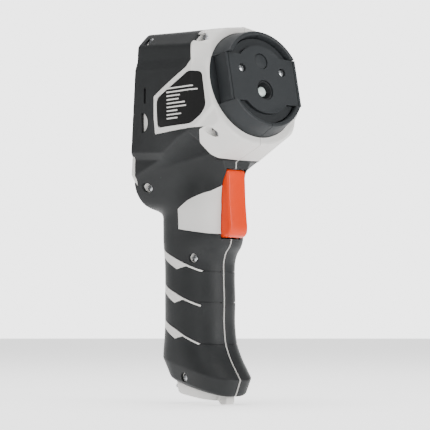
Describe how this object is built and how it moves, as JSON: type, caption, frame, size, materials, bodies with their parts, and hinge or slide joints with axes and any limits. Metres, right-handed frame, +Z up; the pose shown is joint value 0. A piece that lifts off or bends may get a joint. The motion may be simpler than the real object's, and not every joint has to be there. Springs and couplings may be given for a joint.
{
  "type": "infrared thermometer",
  "caption": "Pistol-grip imaging infrared thermometer with a rear display and keys, a trigger, and a battery door in the base.",
  "frame": {"origin": "on the handle's axis at the middle of the grip, 62 mm above the lowest point of the base", "axes": "+Z up along the handle, -Y towards the lens, +Y towards the display, X across"},
  "size_m": [0.08, 0.0882, 0.2229],
  "materials": {
    "light_shell": "fine satin moulded grey",
    "overmould": "satin charcoal soft-touch",
    "label_black": "smooth black film",
    "slate_plastic": "satin slate",
    "steel": "bright zinc",
    "dark_glass": "smoked and polished",
    "black_plastic": "matte black",
    "germanium_lens": "coated and polished",
    "aluminium_can": "drawn can",
    "circuit_board": "green solder mask",
    "lcd_panel": "panel in a bezel",
    "gasket_rubber": "foam",
    "key_rubber": "silicone",
    "brass": "plated",
    "trigger_orange": "glossy orange",
    "cell_wrap": "shrink wrap"
  },
  "bodies": {
    "housing": {"battery_cell": "cell_wrap", "battery_contact": "brass", "battery_sleeve": "black_plastic", "battery_spring": "steel", "camera_window": "dark_glass", "card_socket": "brass", "display_frame": "light_shell", "display_gasket": "gasket_rubber", "display_window": "dark_glass", "dome_sheet": "steel", "door_pin": "steel", "face_plate": "slate_plastic", "face_screw_left": "steel", "face_screw_right": "steel", "front_ring_left": "slate_plastic", "front_ring_right": "slate_plastic", "ir_detector": "aluminium_can", "ir_lens": "germanium_lens", "key_board": "circuit_board", "lcd_module": "lcd_panel", "left_label_plate": "label_black", "left_overmould": "overmould", "left_shell": "light_shell", "lens_barrel": "black_plastic", "main_board": "circuit_board", "right_label_plate": "label_black", "right_overmould": "overmould", "right_shell": "light_shell", "sensor_board": "circuit_board", "shell_screw_1": "steel", "shell_screw_2": "steel", "shell_screw_3": "steel", "shell_screw_4": "steel", "shell_screw_5": "steel", "shell_screw_6": "steel", "spring_seat": "black_plastic", "trigger_pin": "steel", "trigger_spring": "steel", "trigger_switch": "black_plastic", "visible_camera": "black_plastic"},
    "trigger": {"trigger": "trigger_orange"},
    "base_door": {"base_door": "light_shell"},
    "key_power": {"key_power": "key_rubber"},
    "key_up": {"key_up": "key_rubber"},
    "key_select": {"key_select": "key_rubber"},
    "key_down": {"key_down": "key_rubber"},
    "key_gallery": {"key_gallery": "key_rubber"}
  },
  "joints": [
    {"name": "trigger_pivot", "type": "hinge", "parent": "housing", "child": "trigger", "pos_m": [0, -0.0245, 0.071], "axis": [1, 0, 0], "range_deg": [0, 6], "stiffness_Nm_per_rad": 0.35, "deforming": ["trigger_spring"]},
    {"name": "base_door_hinge", "type": "hinge", "parent": "housing", "child": "base_door", "pos_m": [0, 0.0076, -0.0514], "axis": [1, 0, 0], "range_deg": [0, 95]},
    {"name": "key_power_press", "type": "slide", "parent": "housing", "child": "key_power", "axis": [0, -0.9973, -0.0732], "range_m": [0, 0.0008], "stiffness_N_per_m": 900},
    {"name": "key_up_press", "type": "slide", "parent": "housing", "child": "key_up", "axis": [0, -0.9973, -0.0732], "range_m": [0, 0.0008], "stiffness_N_per_m": 900},
    {"name": "key_select_press", "type": "slide", "parent": "housing", "child": "key_select", "axis": [0, -0.9973, -0.0732], "range_m": [0, 0.0008], "stiffness_N_per_m": 900},
    {"name": "key_down_press", "type": "slide", "parent": "housing", "child": "key_down", "axis": [0, -0.9973, -0.0732], "range_m": [0, 0.0008], "stiffness_N_per_m": 900},
    {"name": "key_gallery_press", "type": "slide", "parent": "housing", "child": "key_gallery", "axis": [0, -0.9973, -0.0732], "range_m": [0, 0.0008], "stiffness_N_per_m": 900}
  ]
}
